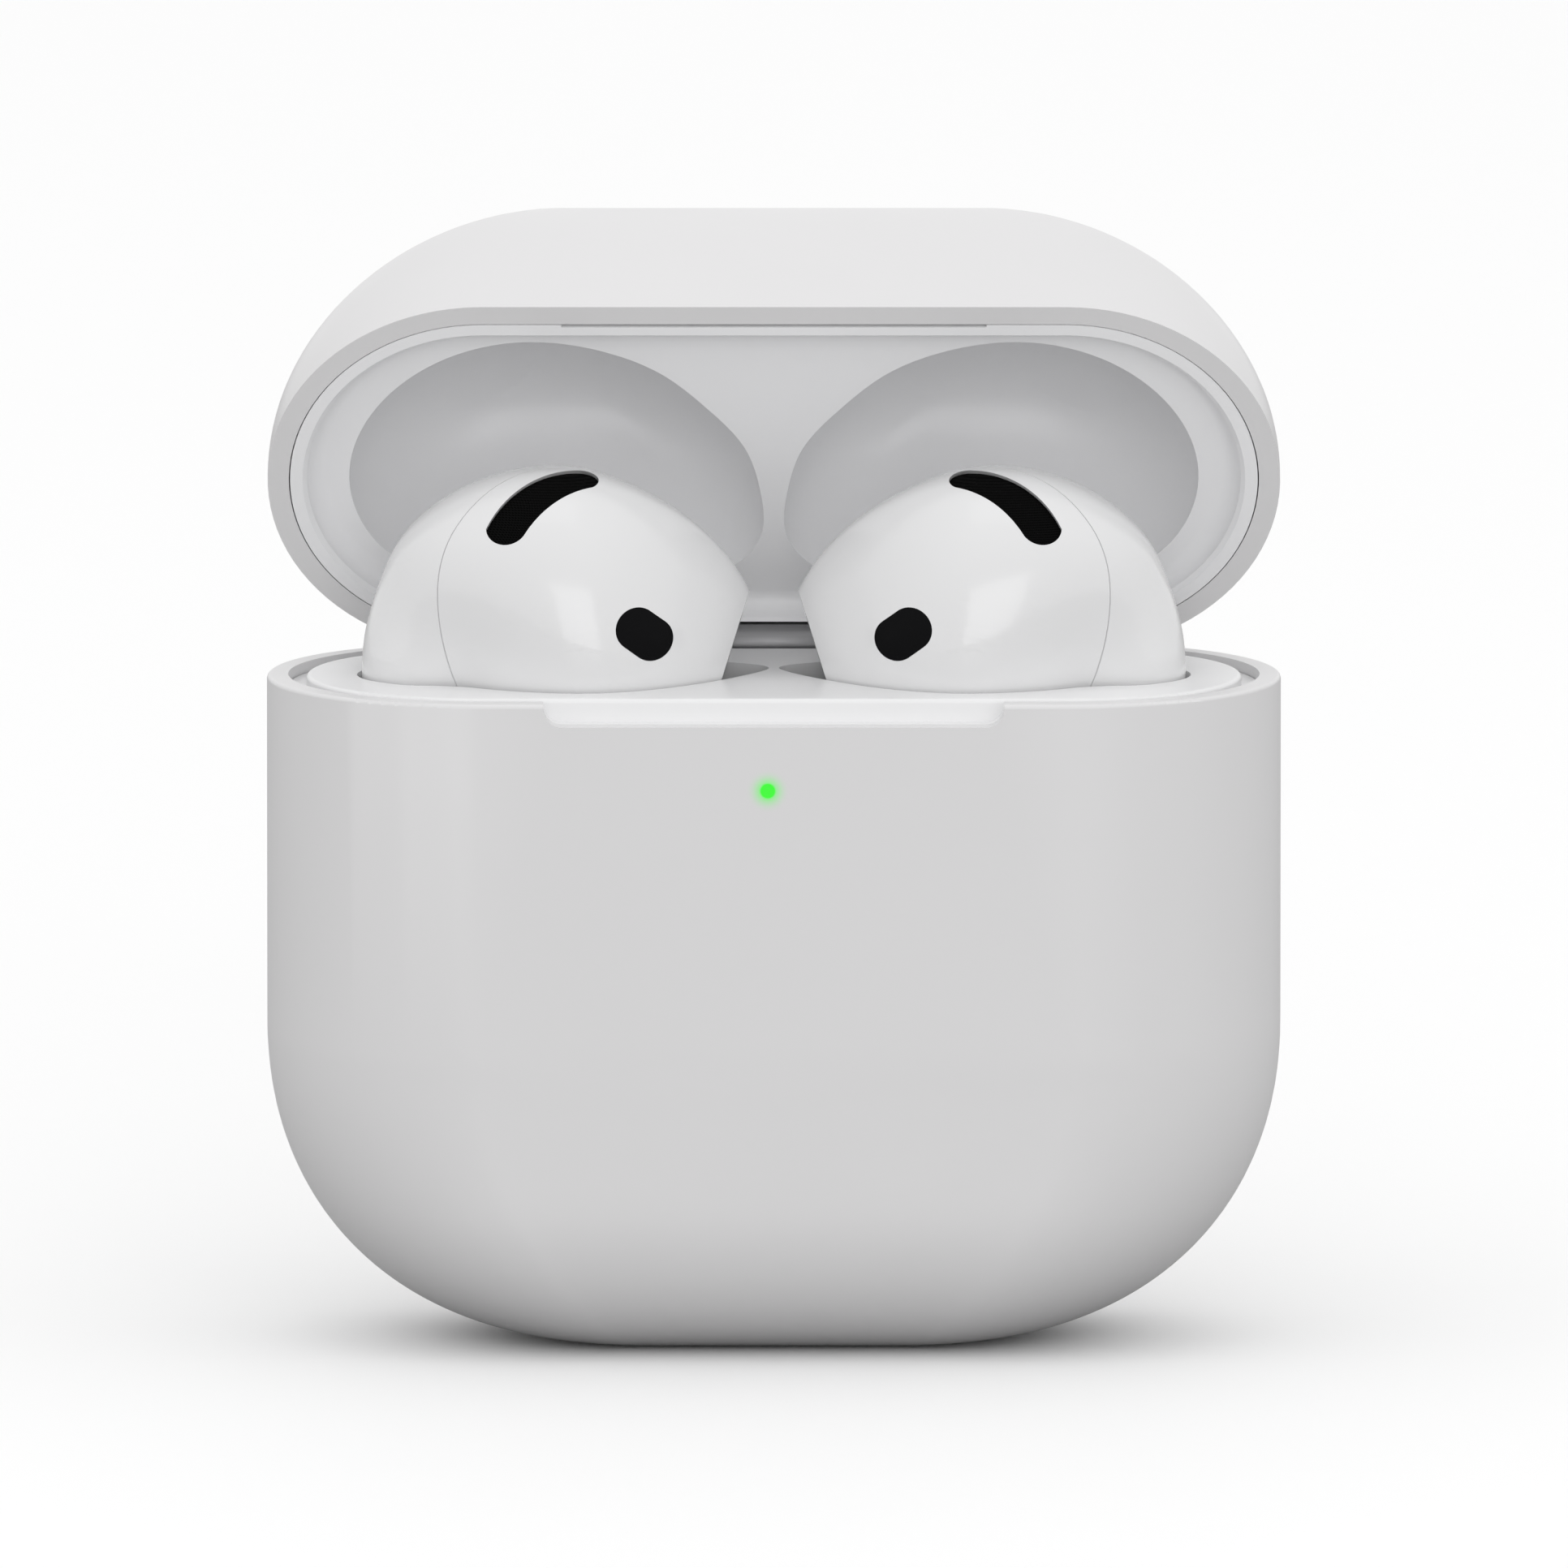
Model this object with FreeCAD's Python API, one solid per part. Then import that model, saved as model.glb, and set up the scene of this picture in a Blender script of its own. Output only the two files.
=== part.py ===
import FreeCAD, Part
import math
import os

from FreeCAD import Placement, Rotation, Vector

# A pocket charging case with a hinged lid and two open-fit earbuds that stand in it.
# Frame: X to the right, Y to the back, Z up, origin at the middle of the flat foot. Millimetres.
# The lid is modelled closed and then turned open about its hinge, which is how the part rests.

# ---- driving dimensions -------------------------------------------------------------------------
CASE_WIDTH = 50.1
CASE_DEPTH = 21.2
CASE_HEIGHT = 46.2          # with the lid closed
RIM_Z = 33.0                # top of the base, where the lid meets it
LID_GAP = 0.1               # seam between base and lid when closed
WALL = 1.05                 # moulded outer shells
FIT = 0.06                  # glued pieces stand this far apart
RIM_INSET = 1.95            # where the raised deck and the lid's hollow begin
DECK_STEP = 0.55            # the ring round the deck lies this much lower
TRAY_UNDER = 31.0           # underside of the tray's top plate
CORNER_POWER = 2.2          # 2 is a circle; a little more gives the soft squared corners
FOOT_HALF_WIDTH = 8.5       # flat foot, before the front corners start
FOOT_HALF_DEPTH = 3.2
FRONT_CORNER = 16.0         # height of the corners seen from the front
LID_FRONT_CORNER = 13.0
SIDE_CORNER = 8.0           # height of the corners seen from the side
LID_OPEN = 61.7             # degrees, the pose that the case is shown in

HINGE_Y = 10.0
HINGE_Z = RIM_Z + LID_GAP
BARREL_R = 1.1
COVE_R = 1.2
PIN_R = 0.4
HINGE_HALF = 12.0           # steel part of the hinge
BARREL_HALF = 18.6          # steel part and the moulded ends beside it
KNUCKLE_HALF = 5.8          # the lid's knuckle, between the base's two
WASHER = 0.3
PLATE_FRONT = 9.0           # hinge plates lie flat against the inside of the rear walls
PLATE_BACK = 9.42

DRAW = 24.0                 # degrees, how far the buds lean forward as they are drawn out
BUD_TOP = 43.3
BUD_FOOT = 17.5
BUD_WALL = 0.75
STEM_WALL = 0.6
STEM_X = -17.2
STEM_Y = -1.2               # the stem's middle at the level of the rim
STEM_R = 2.45
HEAD_X = -10.6
HEAD_Z = 34.3
BOW = 2.4                   # the head's inner end bends back by this much
PINCH = 0.45                # and is this share slimmer
SEAM_GAP = 0.06             # between the bud's two shells
SEAM_NORMAL = Vector(0.542, -0.837, 0.07)     # the front cap faces forward and inward
SEAM_OFFSET = -2.75
NOZZLE_NORMAL = Vector(0.955, -0.05, -0.29).normalize()
NOZZLE_AT = Vector(-1.35, 0, 36.7)
VENT_PITCH = 35.0           # degrees, how far the crescent vent faces upward
WINDOW_AT = (-6.38, 35.75)
WINDOW_TILT = 38.0
WINDOW_HALF = 0.47          # half the straight part of the window
WINDOW_R = 1.05
PIN_REACH = 0.25            # the charging pins stand this far into the well
WELL_GAP = 0.25
WELL_WALL = 0.75
LEAN = 0.3                  # the head's underside leans back by this much per millimetre
RECESS_GAP = 0.6            # the lid's hollows stand off the buds by this much
LINER_WALL = 0.7
LINER_DEPTH = 1.3           # the lid's shallow hollow, above its rim ring
RECESS_TOP = 44.2
RIM_SOFT = 0.22             # small rounding on rims and edges
NOTCH_HALF = 11.35
NOTCH_DEPTH = 1.15
LIGHT = (-0.3, 28.7)        # where the status light shines through the front wall
USB_HALF = 2.89             # half the straight part of a USB-C shell
USB_R = 1.58
USB_FACE = 0.7              # the socket's mouth sits this far inside the foot
BOARD_FRONT = 1.66          # the main board stands upright behind the socket
BOARD_BACK = 2.46
STACK_TOP = 21.5            # board, frame and battery end below the wells
SCREW_SPOTS = [(x, z) for x in (-11.2, 11.2) for z in (10.4, 19.6)]

HEAD_BELOW = 10.2           # the head reaches this far below its widest level
SECTION_BLEND = 1.6
SECTION_POINTS = 40

HALF_W = CASE_WIDTH / 2
HALF_D = CASE_DEPTH / 2
SHEAR = math.tan(math.radians(DRAW))
DRAW_AXIS = Vector(0, -math.sin(math.radians(DRAW)), math.cos(math.radians(DRAW)))
STEM_LENGTH = (RIM_Z - BUD_FOOT) / math.cos(math.radians(DRAW))
HINGE = Vector(0, HINGE_Y, HINGE_Z)
X_AXIS = Vector(1, 0, 0)
Y_AXIS = Vector(0, 1, 0)
Z_AXIS = Vector(0, 0, 1)


# ---- plain shapes -------------------------------------------------------------------------------
def box(x0, x1, y0, y1, z0, z1):
    return Part.makeBox(x1 - x0, y1 - y0, z1 - z0, Vector(x0, y0, z0))


def rod(radius, start, axis, length):
    return Part.makeCylinder(radius, length, start, axis)


def rod_x(radius, x0, x1, y=HINGE_Y, z=HINGE_Z):
    return rod(radius, Vector(x0, y, z), X_AXIS, x1 - x0)


def mirrored(shape):
    """The same shape on the right-hand side."""
    return shape.mirror(Vector(0, 0, 0), X_AXIS)


def fused(shapes):
    return shapes[0].fuse(shapes[1:]) if len(shapes) > 1 else shapes[0]


def group(shapes):
    return Part.makeCompound(shapes)


def slot_wire(half_length, radius, at, along, normal):
    """A round-ended slot outline about `at`, long in the direction `along`."""
    across = normal.cross(along)
    low, high = at - along * half_length, at + along * half_length
    p = [low - across * radius, high - across * radius, high + across * radius, low + across * radius]
    return Part.Wire([
        Part.LineSegment(p[0], p[1]).toShape(),
        Part.Arc(p[1], high + along * radius, p[2]).toShape(),
        Part.LineSegment(p[2], p[3]).toShape(),
        Part.Arc(p[3], low - along * radius, p[0]).toShape(),
    ])


def prism(wire, direction):
    return Part.Face(wire).extrude(direction)


def softened(shape, radius, chosen):
    """Fillets the edges that `chosen` picks, or leaves the shape sharp where the kernel can't."""
    edges = [e for e in shape.Edges if chosen(e)]
    try:
        smooth = shape.makeFillet(radius, edges)
        return smooth if smooth.isValid() and smooth.Volume > 0 else shape
    except Exception:
        return shape


# ---- the case's outer form ----------------------------------------------------------------------
def corner(height, reach, corner_height, power=CORNER_POWER):
    """How far a rounded corner has come out, this high above the flat it starts from."""
    if height >= corner_height:
        return reach
    return reach * (1 - (1 - max(height, 0) / corner_height) ** power) ** (1 / power)


def outline(z, inset):
    """Half width and half depth of the closed case at height z, its surface moved in by `inset`."""
    up, down = z - inset, CASE_HEIGHT - inset - z
    reach_w, reach_d = HALF_W - inset - FOOT_HALF_WIDTH, HALF_D - inset - FOOT_HALF_DEPTH
    width = FOOT_HALF_WIDTH + min(corner(up, reach_w, FRONT_CORNER - inset),
                                  corner(down, reach_w, LID_FRONT_CORNER - inset))
    depth = FOOT_HALF_DEPTH + min(corner(up, reach_d, SIDE_CORNER - inset),
                                  corner(down, reach_d, SIDE_CORNER - inset))
    return width, depth


def stadium(z, half_width, half_depth):
    """A flat outline with straight front and back and round ends."""
    s = half_width - half_depth
    corners = [Vector(-s, -half_depth, z), Vector(s, -half_depth, z), Vector(s, half_depth, z),
               Vector(-s, half_depth, z)]
    return Part.Wire([
        Part.LineSegment(corners[0], corners[1]).toShape(),
        Part.Arc(corners[1], Vector(half_width, 0, z), corners[2]).toShape(),
        Part.LineSegment(corners[2], corners[3]).toShape(),
        Part.Arc(corners[3], Vector(-half_width, 0, z), corners[0]).toShape(),
    ])


def corner_levels(inset, end):
    """Heights above a flat end, close together where the corner turns fastest."""
    turn = [(SIDE_CORNER - inset) * (1 - math.cos(math.radians(a))) for a in range(0, 91, 10)]
    rise = [10.0, 12.0, 14.0]
    return [h for h in turn + rise if h < end - 0.8] + [end]


def base_form(inset):
    """The rounded lower part is lofted; the sides run straight up from it to the rim."""
    heights = [inset + h for h in corner_levels(inset, FRONT_CORNER - inset)]
    bowl = Part.makeLoft([stadium(z, *outline(z, inset)) for z in heights], True, False)
    return bowl.fuse(plan_prism(inset, FRONT_CORNER, RIM_Z))


def lid_form(inset):
    roof = CASE_HEIGHT - inset
    heights = [roof - h for h in reversed(corner_levels(inset, roof - HINGE_Z))]
    return Part.makeLoft([stadium(z, *outline(z, inset)) for z in heights], True, False)


def plan_prism(inset, z0, z1):
    """The case's plan outline near the rim, as a straight-sided block."""
    return prism(stadium(z0, HALF_W - inset, HALF_D - inset), Vector(0, 0, z1 - z0))


# ---- the earbud's outer form, for the left bud ---------------------------------------------------
def mix(a, b, t):
    t = min(max(t, 0.0), 1.0)
    return a + (b - a) * t * t * (3 - 2 * t)


def dome(z, below, above, power=2.0, middle=HEAD_Z):
    """Share of its full size that the head has at height z: 1 at the middle, 0 at the ends."""
    reach = above if z > middle else below
    return max(0.0, 1 - (abs(z - middle) / reach) ** power) ** (1 / power)


def bud_ovals(z, grow):
    """The two ovals that make the head's section at height z: (x, y, half width, half depth)."""
    above, below = BUD_TOP - HEAD_Z + grow, HEAD_BELOW + grow
    size = dome(z, below, above)
    lean = LEAN * max(0.0, RIM_Z - z)
    right = 10.1 * dome(z, below, above, 1.75 if z > HEAD_Z else 2.0)
    cap_left = mix(6.0, 9.2, (z - 33.0) / 8.0) * size
    cap = (HEAD_X + (right - cap_left) / 2, -0.7 + lean, (right + cap_left) / 2, 6.1 * size)
    left = 9.75 * dome(z, below - 1.0, above + 1.0, 2.0, HEAD_Z - 1.0)
    width = mix(3.3, 7.0, (z - 31.0) / 11.0) * size
    depth = mix(3.3, 5.6, (z - 31.0) / 11.0) * size
    return cap, (HEAD_X - left + width, mix(-0.5, 0.3, (z - 31.0) / 8.0) + lean, width, depth)


def oval_distance(x, y, oval):
    cx, cy, a, b = oval
    if min(a, b) < 0.02:
        return 50.0
    return (math.hypot((x - cx) / a, (y - cy) / b) - 1) * min(a, b)


def section_radius(angle, middle, ovals, grow):
    """Distance from `middle` to the smoothly joined ovals' edge, in one direction."""
    low, high = 0.0, 16.0
    for _ in range(26):
        r = (low + high) / 2
        x, y = middle[0] + r * math.cos(angle), middle[1] + r * math.sin(angle)
        d1, d2 = (oval_distance(x, y, oval) for oval in ovals)
        h = min(max(0.5 + 0.5 * (d2 - d1) / SECTION_BLEND, 0.0), 1.0)
        joined = d2 + (d1 - d2) * h - SECTION_BLEND * h * (1 - h)
        if joined > grow:
            high = r
        else:
            low = r
    return r


def head_section(z, grow):
    cap, rear = bud_ovals(z, grow)
    middle = (cap[0] - 0.25 * cap[2], cap[1])
    points = []
    for i in range(SECTION_POINTS):
        angle = math.pi / 2 + 2 * math.pi * i / SECTION_POINTS     # starts at the back
        r = section_radius(angle, middle, (cap, rear), grow * dome(z, HEAD_BELOW + grow, 9.0 + grow))
        x, dy = middle[0] + r * math.cos(angle), r * math.sin(angle)
        inward = (max(0.0, x - HEAD_X) / 10) ** 2
        points.append(Vector(x, middle[1] + dy * (1 - PINCH * inward) + BOW * inward, z))
    curve = Part.BSplineCurve()
    curve.interpolate(Points=points, PeriodicFlag=True)
    return Part.Wire([curve.toShape()])


def head_form(grow, cut_above=None):
    """The bud's head as a closed egg, `grow` bigger all round; optionally only its lower part."""
    above, below = BUD_TOP - HEAD_Z + grow, HEAD_BELOW + grow
    turns = [-88.0, -83.0, -76.0, -68.0, -59.0, -50.0, -40.0, -30.0, -20.0, -10.0, 0.0,
             10.0, 20.0, 30.0, 40.0, 50.0, 59.0, 68.0, 76.0, 83.0, 88.0]
    rows = [HEAD_Z + (above if t > 0 else below) * math.sin(math.radians(t)) for t in turns]
    if cut_above:
        rows = [z for z in rows if z < cut_above - 0.6] + [cut_above]
    return Part.makeLoft([head_section(z, grow) for z in rows], True, False)


def stem_y(z):
    """The stem runs along the way the bud is drawn out."""
    return STEM_Y - (z - RIM_Z) * SHEAR


def stem_point(along):
    """A point on the stem's axis, `along` millimetres up from its lower end."""
    return Vector(STEM_X, stem_y(BUD_FOOT), BUD_FOOT) + DRAW_AXIS * along


def stem_form(radius, start=0.0, end=STEM_LENGTH):
    return rod(radius, stem_point(start), DRAW_AXIS, end - start)


def half_space(normal, offset, reach=160.0):
    """Everything on the far side of a plane, as a big block."""
    turn = Rotation(Z_AXIS, normal)
    block = Part.makeBox(reach, reach, reach, Vector(-reach / 2, -reach / 2, 0))
    block.Placement = Placement(normal * offset, turn)
    return block


def single(shape):
    """The one solid of a boolean result."""
    solids = sorted(shape.Solids, key=lambda solid: solid.Volume)
    return solids[-1]


def both(shape):
    """A shape and its twin on the other side of the case."""
    return group([shape, mirrored(shape)])


def rounded_box(x0, x1, y0, y1, z0, z1, radius, axis):
    """A box with the four edges along one axis rounded."""
    shape = box(x0, x1, y0, y1, z0, z1)
    return softened(shape, radius, lambda e: abs(e.tangentAt(e.FirstParameter).dot(axis)) > 0.99)


def bent_strip(path, width, thickness, across):
    """A flat ribbon that follows a path of points with its width along `across`."""
    pieces = []
    for start, end in zip(path, path[1:]):
        along = end - start
        length = along.Length + thickness
        along.normalize()
        normal = along.cross(across)
        corner_at = start - along * (thickness / 2) - across * (width / 2) - normal * (thickness / 2)
        turn = Rotation(along, across, normal, "XYZ")
        piece = Part.makeBox(length, width, thickness)
        piece.Placement = Placement(corner_at, turn)
        pieces.append(piece)
    return fused(pieces)


def wire_lead(path, radius):
    """A round wire through points, with ball joints at its bends."""
    pieces = [Part.makeSphere(radius, p) for p in path[1:-1]]
    for start, end in zip(path, path[1:]):
        pieces.append(rod(radius, start, end - start, (end - start).Length))
    return single(fused(pieces))


# ---- base: outer shell --------------------------------------------------------------------------
def finger_notch():
    """The shallow scoop in the front rim that lets a fingertip under the lid."""
    floor = RIM_Z - NOTCH_DEPTH
    back = -(HALF_D - RIM_INSET)
    shape = box(-NOTCH_HALF, NOTCH_HALF, -HALF_D - 1, back, floor, RIM_Z + 2)
    return softened(shape, 0.9, lambda e: e.BoundBox.YLength > 1 and e.BoundBox.ZMax < RIM_Z)


def hinge_cove(half_length):
    return rod_x(COVE_R, -half_length, half_length)


def base_shell():
    outside = softened(base_form(0), RIM_SOFT, lambda e: e.BoundBox.ZMin > RIM_Z - 0.1)
    shell = outside.cut(base_form(WALL))
    shell = shell.cut(hinge_cove(HINGE_HALF + 0.1))
    for x0, x1 in ((-BARREL_HALF, -HINGE_HALF - 0.1), (HINGE_HALF + 0.1, BARREL_HALF)):
        barrel = rod_x(BARREL_R, x0, x1).common(plan_prism(0, RIM_Z - 3, RIM_Z + 3))
        shell = shell.fuse(barrel)
    shell = shell.cut(rod_x(PIN_R + FIT, -HINGE_HALF - 3, HINGE_HALF + 3))
    shell = shell.cut(finger_notch())
    socket = slot_wire(USB_HALF, USB_R + 0.08, Vector(0, 0, -1), X_AXIS, Z_AXIS)
    shell = shell.cut(prism(socket, Vector(0, 0, 4)))
    light = rod(1.05, Vector(LIGHT[0], -HALF_D + 0.4, LIGHT[1]), Y_AXIS, 2)
    return single(shell.cut(light))


# ---- base: tray with the two wells --------------------------------------------------------------
def well_outside():
    head = head_form(WELL_GAP + WELL_WALL, RIM_Z - 0.6)
    tube = stem_form(STEM_R + WELL_GAP + WELL_WALL, -1.2, STEM_LENGTH)
    return head.fuse(tube).common(box(-30, 0, -12, 12, 0, RIM_Z - 0.6))


def well_inside():
    head = head_form(WELL_GAP, RIM_Z + 0.3)
    return head.fuse(stem_form(STEM_R + WELL_GAP, -0.35, STEM_LENGTH + 3))


def pin_points():
    """Where the two charging pins of the left well stand, on the stem's lower face."""
    return [stem_point(-0.35) + Vector(dx, 0, 0) for dx in (-0.95, 0.95)]


def bud_tray():
    ring = plan_prism(WALL + FIT, TRAY_UNDER, RIM_Z - DECK_STEP)
    deck = plan_prism(RIM_INSET, TRAY_UNDER, RIM_Z)
    deck = softened(deck, RIM_SOFT, lambda e: e.BoundBox.ZMin > RIM_Z - 0.1)
    well = well_outside()
    anchor = box(-13, 13, 7.6, PLATE_FRONT - FIT, 26.4, TRAY_UNDER + 0.5)
    tray = ring.fuse([deck, well, mirrored(well), anchor]).common(base_form(WALL + FIT))
    pocket = well_inside()
    tray = tray.cut([pocket, mirrored(pocket), hinge_cove(BARREL_HALF + 0.1), finger_notch()])
    plate_room = box(-HINGE_HALF - 0.2, HINGE_HALF + 0.2, PLATE_FRONT - FIT, HALF_D, 20, RIM_Z)
    cuts = [plate_room]
    cuts.append(magnet_bar(TRAY_UNDER - 1, 2.25, FIT))
    cuts += [rod(0.62, Vector(x, PLATE_FRONT + 1, 28.4), -Y_AXIS, 2.2) for x in (-9, 9)]
    for p in pin_points():
        hole = rod(0.4, p - DRAW_AXIS * 2, DRAW_AXIS, 4)
        cuts += [hole, mirrored(hole)]
    return single(tray.cut(cuts))


# ---- base: inside -------------------------------------------------------------------------------
def inner_frame():
    """An upright plate between battery and board, with four posts for the board's screws."""
    plate = rounded_box(-13.2, 13.2, -2.35, -1.7, 8.4, STACK_TOP, 1.0, Y_AXIS)
    posts = [rod(1.6, Vector(x, -1.8, z), Y_AXIS, 1.8 + BOARD_FRONT - FIT) for x, z in SCREW_SPOTS]
    holes = [rod(0.62, Vector(x, -1.2, z), Y_AXIS, 4) for x, z in SCREW_SPOTS]
    return single(plate.fuse(posts).cut(holes))


def machine_screw(start, axis, length, shank=0.6, head=1.1, head_height=0.5):
    """A small cross-head screw: `start` is under its head, which points back along the axis."""
    body = rod(shank, start, axis, length).fuse(rod(head, start - axis * head_height, axis, head_height))
    side = axis.cross(X_AXIS) if abs(axis.dot(X_AXIS)) < 0.9 else axis.cross(Y_AXIS)
    top = start - axis * head_height
    for along in (side, axis.cross(side)):
        slot = slot_wire(0.45, 0.09, top - axis * 0.1, along, axis)
        body = body.cut(prism(slot, axis * 0.35))
    return single(body)


def board_screws():
    return group([machine_screw(Vector(x, BOARD_BACK, z), -Y_AXIS, 2.9) for x, z in SCREW_SPOTS])


def battery():
    cell = box(-12.2, 12.2, -8.5, -2.45, 7.9, STACK_TOP - 0.9)
    return single(softened(cell, 1.4, lambda e: e.BoundBox.YLength < 0.1))


def battery_board():
    """The cell's small protection board, folded over its upper edge."""
    return box(-7.0, 7.0, -6.4, -4.4, STACK_TOP - 0.8, STACK_TOP - 0.2)


def battery_leads():
    leads = []
    for x in (-1.4, 1.4):
        path = [Vector(x, -4.34, 21.0), Vector(x, -3.6, 21.0), Vector(x, -2.9, 22.0),
                Vector(x, 0.9, 22.0), Vector(x, 0.9, 20.2), Vector(x, 1.6, 20.2)]
        leads.append(wire_lead(path, 0.28))
    return group(leads)


def main_board():
    body = box(-13.0, 13.0, BOARD_FRONT, BOARD_BACK, 8.6, STACK_TOP)
    tail = box(-6.0, 6.0, BOARD_FRONT, BOARD_BACK, 1.9, 9.0)
    holes = [rod(0.7, Vector(x, 0, z), Y_AXIS, 5) for x, z in SCREW_SPOTS]
    return single(body.fuse(tail).cut(holes))


def board_chips():
    """Charge controller, controller, inductor, lid sensor and small parts on the board's back."""
    at = BOARD_BACK + 0.03
    sizes = [(-3.5, 16.0, 4.0, 4.0, 0.8), (3.6, 15.6, 5.0, 5.0, 0.9), (-7.6, 12.2, 3.0, 3.0, 1.4),
             (8.2, 12.0, 1.6, 2.9, 1.0), (0.2, 11.2, 2.5, 2.0, 0.7)]
    chips = [box(x - w / 2, x + w / 2, at, at + t, z - h / 2, z + h / 2) for x, z, w, h, t in sizes]
    for row in (19.6, 6.2):
        for i in range(5):
            x = -4.4 + 2.2 * i
            chips.append(box(x - 0.5, x + 0.5, at, at + 0.5, row - 0.25, row + 0.25))
    return group(chips)


def usb_c_shell():
    outside = prism(slot_wire(USB_HALF, USB_R, Vector(0, 0, USB_FACE), X_AXIS, Z_AXIS), Vector(0, 0, 7.3))
    inside = prism(slot_wire(USB_HALF, USB_R - 0.3, Vector(0, 0, USB_FACE - 1), X_AXIS, Z_AXIS),
                   Vector(0, 0, 7.4))
    return single(outside.cut(inside))


def usb_c_tongue():
    return single(rounded_box(-3.34, 3.34, -0.35, 0.35, USB_FACE + 0.9, USB_FACE + 6.3, 0.3, Y_AXIS))


def status_light_window():
    return rod(0.98, Vector(LIGHT[0], -HALF_D + 0.45, LIGHT[1]), Y_AXIS, 0.25)


def status_led():
    x, z = LIGHT
    return box(x - 0.5, x + 0.5, -9.85, -9.5, z - 0.25, z + 0.25)


def front_flex():
    """A thin film glued inside the front wall: it feels a touch and carries the status light."""
    pad = rounded_box(-7.0, 7.0, -9.45, -9.3, 12.0, 26.0, 1.5, Y_AXIS)
    tail = rounded_box(LIGHT[0] - 1.6, LIGHT[0] + 1.6, -9.45, -9.3, 20.0, 30.2, 0.6, Y_AXIS)
    return single(pad.fuse(tail))


def front_flex_tail():
    """The film's narrow tail, round the top of the battery to the main board."""
    x = 5.0
    path = [Vector(x, -9.1, 21.0), Vector(x, -9.1, 22.1), Vector(x, 1.2, 22.1), Vector(x, 1.2, 20.9)]
    return single(bent_strip(path, 2.4, 0.14, X_AXIS))


def charge_pins():
    """Two spring pins in the well's floor, a hair below the bud's contacts."""
    pins = []
    for p in pin_points():
        pins.append(single(rod(0.34, p - DRAW_AXIS * 1.0, DRAW_AXIS, 1.0 + PIN_REACH)
                           .fuse(rod(0.7, p - DRAW_AXIS * 1.45, DRAW_AXIS, 0.5))))
    return group(pins)


def contact_board():
    """The little board under the left well that carries its pins."""
    middle = stem_point(-0.35) - DRAW_AXIS * 1.55
    plate = Part.makeBox(4.6, 2.6, 0.35, Vector(-2.3, -1.3, -0.35))
    plate.Placement = Placement(middle, Rotation(Z_AXIS, DRAW_AXIS))
    return plate


def contact_flex():
    """A ribbon from the little board under the left well to the main board."""
    low = stem_point(-0.35) - DRAW_AXIS * 1.72
    path = [Vector(-14.8, low.y, low.z), Vector(-12.3, low.y, low.z), Vector(-12.3, 2.6, low.z)]
    return single(bent_strip(path, 1.6, 0.12, Z_AXIS))


def magnet_bar(z, height, gap=0.0):
    """The bar magnet at the middle of the front, in the base or in the lid."""
    return box(-3 - gap, 3 + gap, -8.2 - gap, -6.2 + gap, z, z + height)


def base_magnet():
    return magnet_bar(TRAY_UNDER + 0.05, 1.15)


def hold_magnets():
    """One below each well, pulling on the magnet of the bud's driver."""
    return both(rod(2.0, Vector(-10.6, 1.9, STACK_TOP + 0.1), Z_AXIS, 1.1))


# ---- hinge --------------------------------------------------------------------------------------
def hinge_plate(x0, x1, z0, z1, x_spots, z_spot):
    """A flat steel plate with countersunk holes, its back flush with the screw heads."""
    plate = rounded_box(x0, x1, PLATE_FRONT, PLATE_BACK, z0, z1, 0.8, Y_AXIS)
    for x in x_spots:
        plate = plate.cut(Part.makeCone(0.66, 1.14, 0.44, Vector(x, PLATE_FRONT - 0.01, z_spot), Y_AXIS))
    return plate


def countersunk_screw(x, z):
    head = Part.makeCone(0.6, 1.06, 0.40, Vector(x, PLATE_FRONT, z), Y_AXIS)
    shank = rod(0.6, Vector(x, PLATE_FRONT + 0.05, z), -Y_AXIS, 1.2)
    screw = head.fuse(shank)
    for along in (X_AXIS, Z_AXIS):
        slot = slot_wire(0.4, 0.08, Vector(x, PLATE_FRONT + 0.5, z), along, Y_AXIS)
        screw = screw.cut(prism(slot, Vector(0, -0.3, 0)))
    return single(screw)


def knuckle(x0, x1, web_z0, web_z1):
    barrel = rod_x(BARREL_R, x0, x1).fuse(box(x0, x1, PLATE_FRONT, PLATE_BACK, web_z0, web_z1))
    return barrel.common(plan_prism(0.02, RIM_Z - 5, RIM_Z + 5))


def hinge_base_bracket():
    plate = hinge_plate(-HINGE_HALF, HINGE_HALF, 26.6, 31.6, (-9, 9), 28.4)
    inner = KNUCKLE_HALF + WASHER + 0.1
    knuckles = [knuckle(x0, x1, 31.0, HINGE_Z) for x0, x1 in ((-HINGE_HALF, -inner), (inner, HINGE_HALF))]
    return single(plate.fuse(knuckles).cut(rod_x(PIN_R + 0.02, -30, 30)))


def hinge_lid_bracket():
    plate = hinge_plate(-HINGE_HALF + 1, HINGE_HALF - 1, 34.6, 38.6, (-8, 8), 37.2)
    barrel = knuckle(-KNUCKLE_HALF, KNUCKLE_HALF, HINGE_Z, 35.4)
    return single(plate.fuse(barrel).cut(rod_x(PIN_R + 0.04, -30, 30)))


def hinge_pin():
    return rod_x(PIN_R, -HINGE_HALF - 2.8, HINGE_HALF + 2.8)


def hinge_washers():
    """Two spring washers that grip between the knuckles and hold the lid where it is put."""
    ring = rod_x(0.95, -KNUCKLE_HALF - 0.05 - WASHER, -KNUCKLE_HALF - 0.05).cut(rod_x(PIN_R + 0.03, -30, 30))
    return both(single(ring))


def hinge_base_screws():
    return group([countersunk_screw(x, 28.4) for x in (-9, 9)])


def hinge_lid_screws():
    return group([countersunk_screw(x, 37.2) for x in (-8, 8)])


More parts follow.
